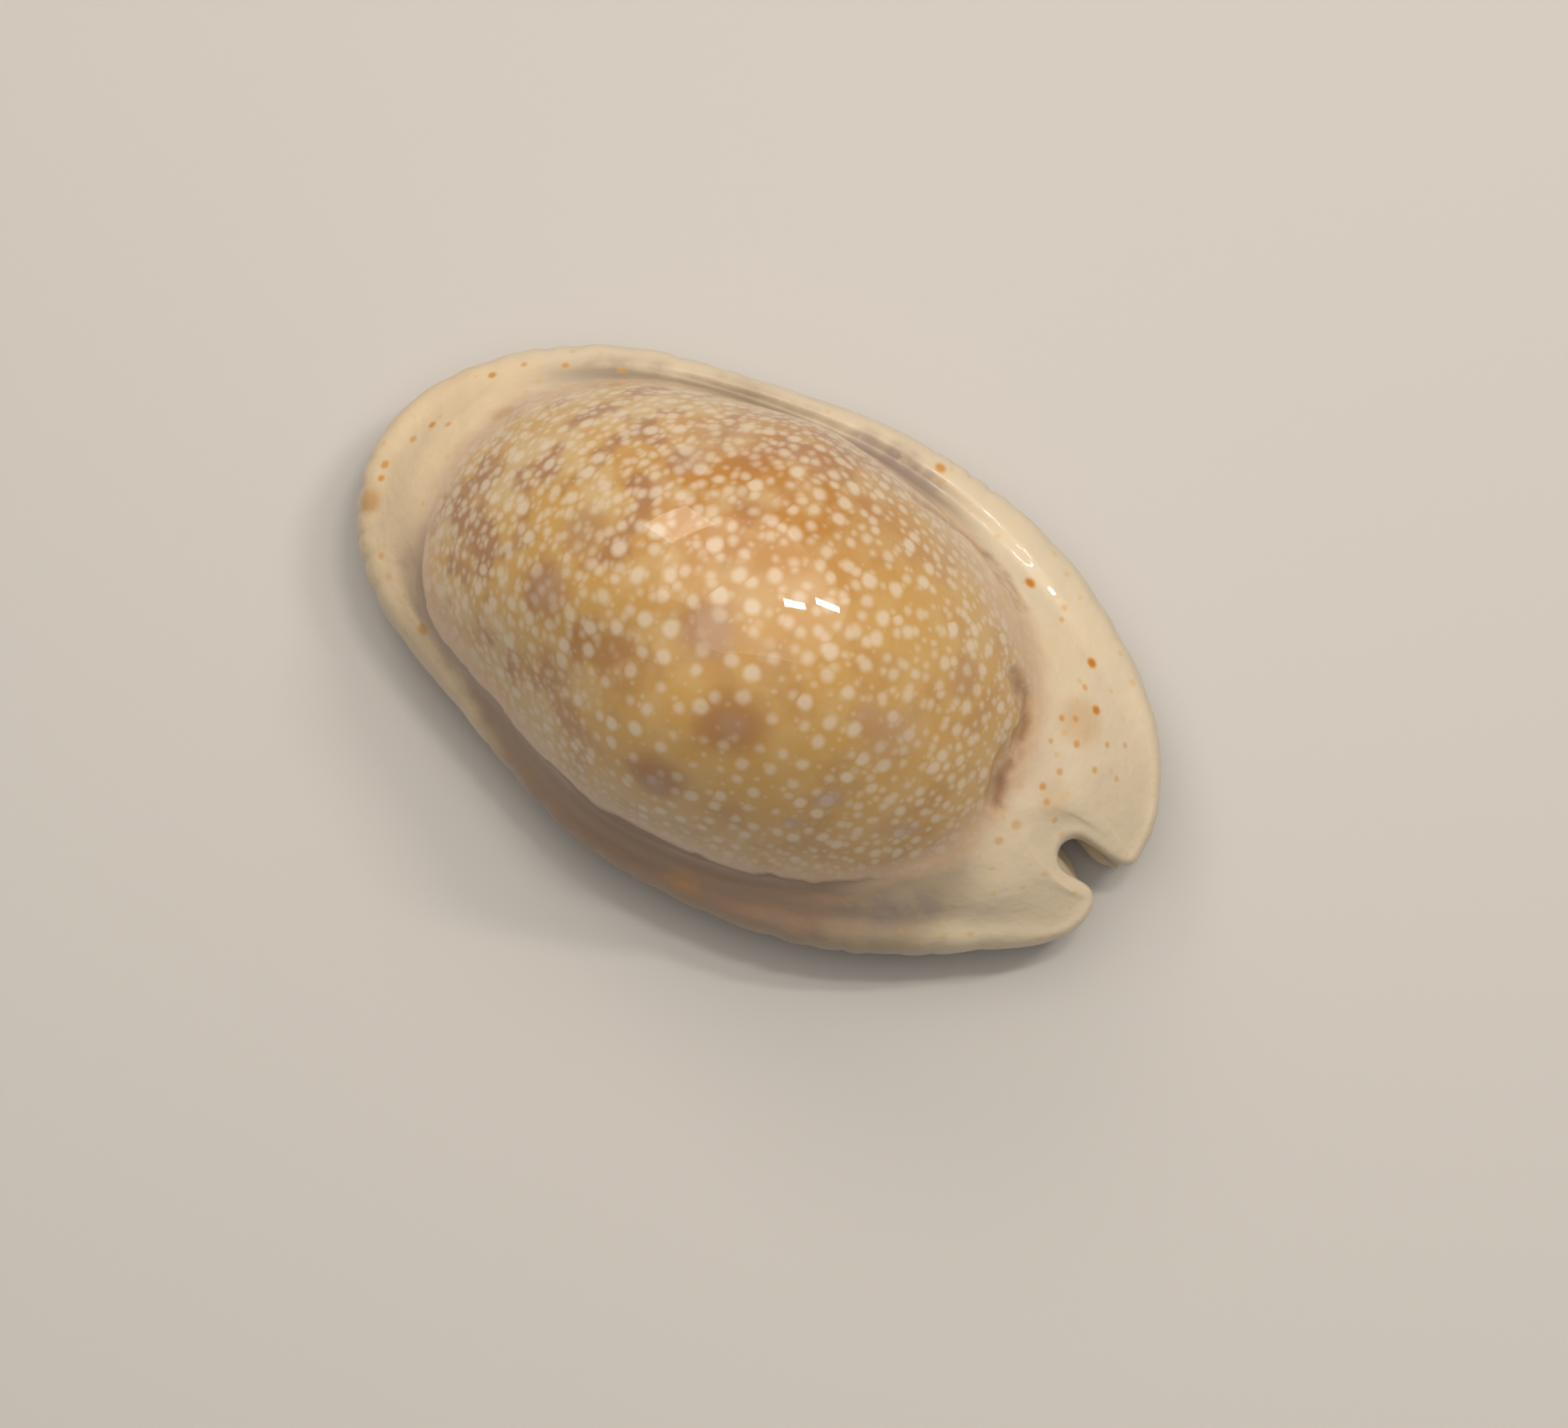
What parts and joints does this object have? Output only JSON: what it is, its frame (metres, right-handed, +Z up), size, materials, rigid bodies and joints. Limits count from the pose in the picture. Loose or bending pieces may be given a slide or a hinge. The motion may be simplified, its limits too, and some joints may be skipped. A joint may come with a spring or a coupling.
{
  "type": "eroded cowrie shell",
  "caption": "Eroded cowrie: an oval, humped seashell with a spotted tan back, thick cream edges and a toothed slit underneath.",
  "frame": {"origin": "middle of the shell's outline seen from above, in the plane that it rests on", "axes": "+X to the front end with the canal, +Y to the columella side, +Z up through the humped back"},
  "size_m": [0.0422, 0.0252, 0.02],
  "materials": {
    "shell": "gloss"
  },
  "bodies": {
    "root": {"shell": "shell"}
  },
  "joints": []
}
